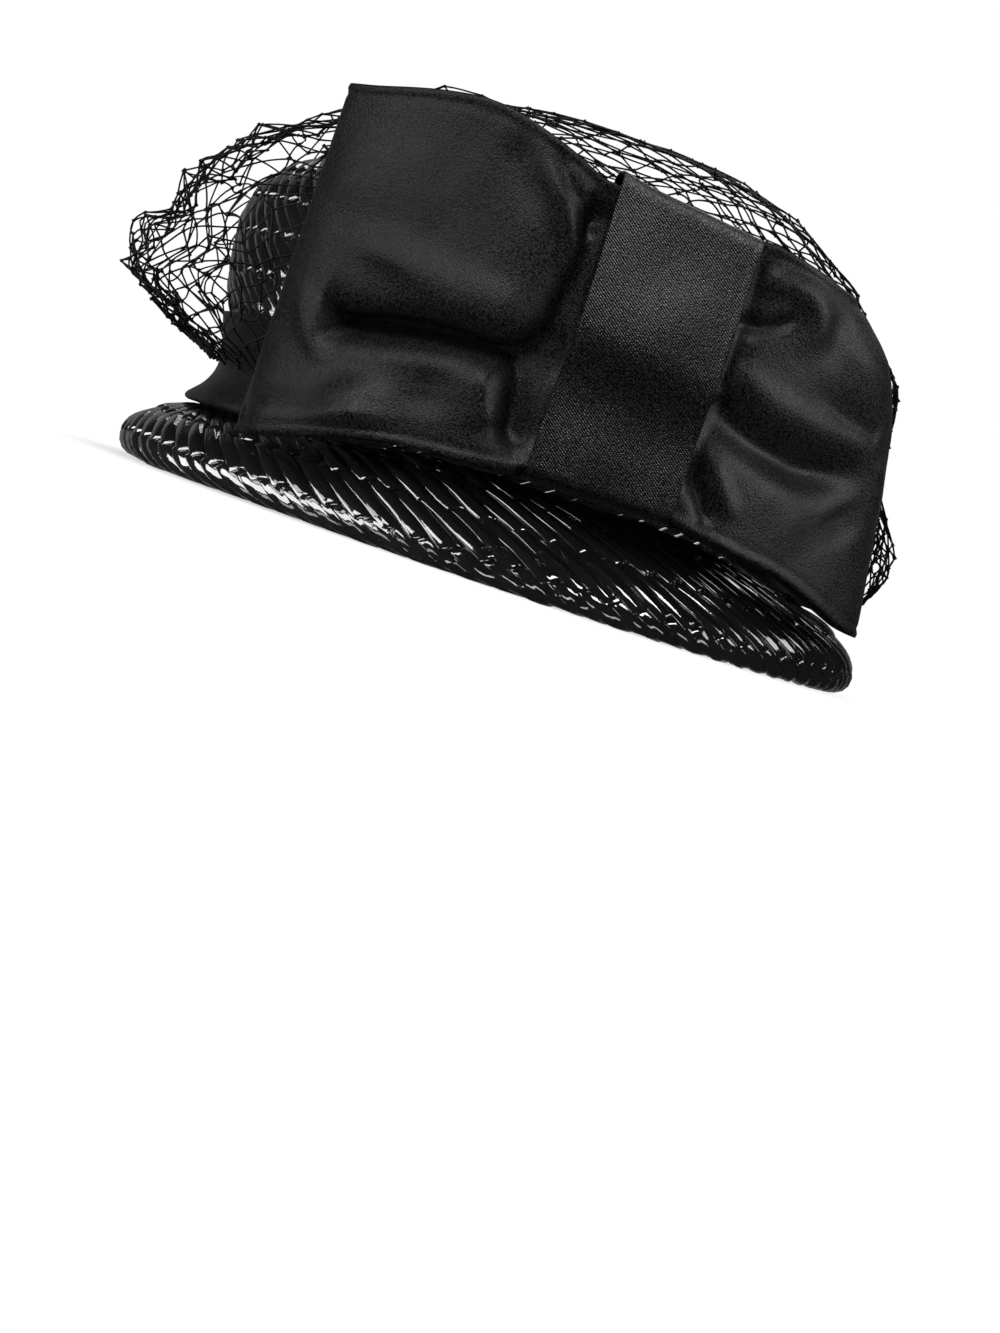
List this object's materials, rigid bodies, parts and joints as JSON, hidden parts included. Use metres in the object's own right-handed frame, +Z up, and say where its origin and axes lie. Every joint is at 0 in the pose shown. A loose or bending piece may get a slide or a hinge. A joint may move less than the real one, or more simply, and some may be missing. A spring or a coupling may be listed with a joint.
{
  "type": "dress hat",
  "caption": "Domed hat of glossy black plaited straw with a short rounded brim, satin band, net veil and a large flat satin bow on the front.",
  "frame": {"origin": "middle of the outline seen from above, on the plane that the rim rests on", "axes": "+Z up out of the crown, -Y the way the wearer faces with the bow in front, +X to the wearer's left"},
  "size_m": [0.2309, 0.251, 0.1326],
  "materials": {
    "straw": "gloss",
    "satin": "satin",
    "net": "matte"
  },
  "bodies": {
    "root": {"crown": "straw", "brim": "straw", "hatband": "satin", "veil": "net", "bow_loop_left": "satin", "bow_loop_right": "satin", "bow_knot": "satin"}
  },
  "joints": []
}
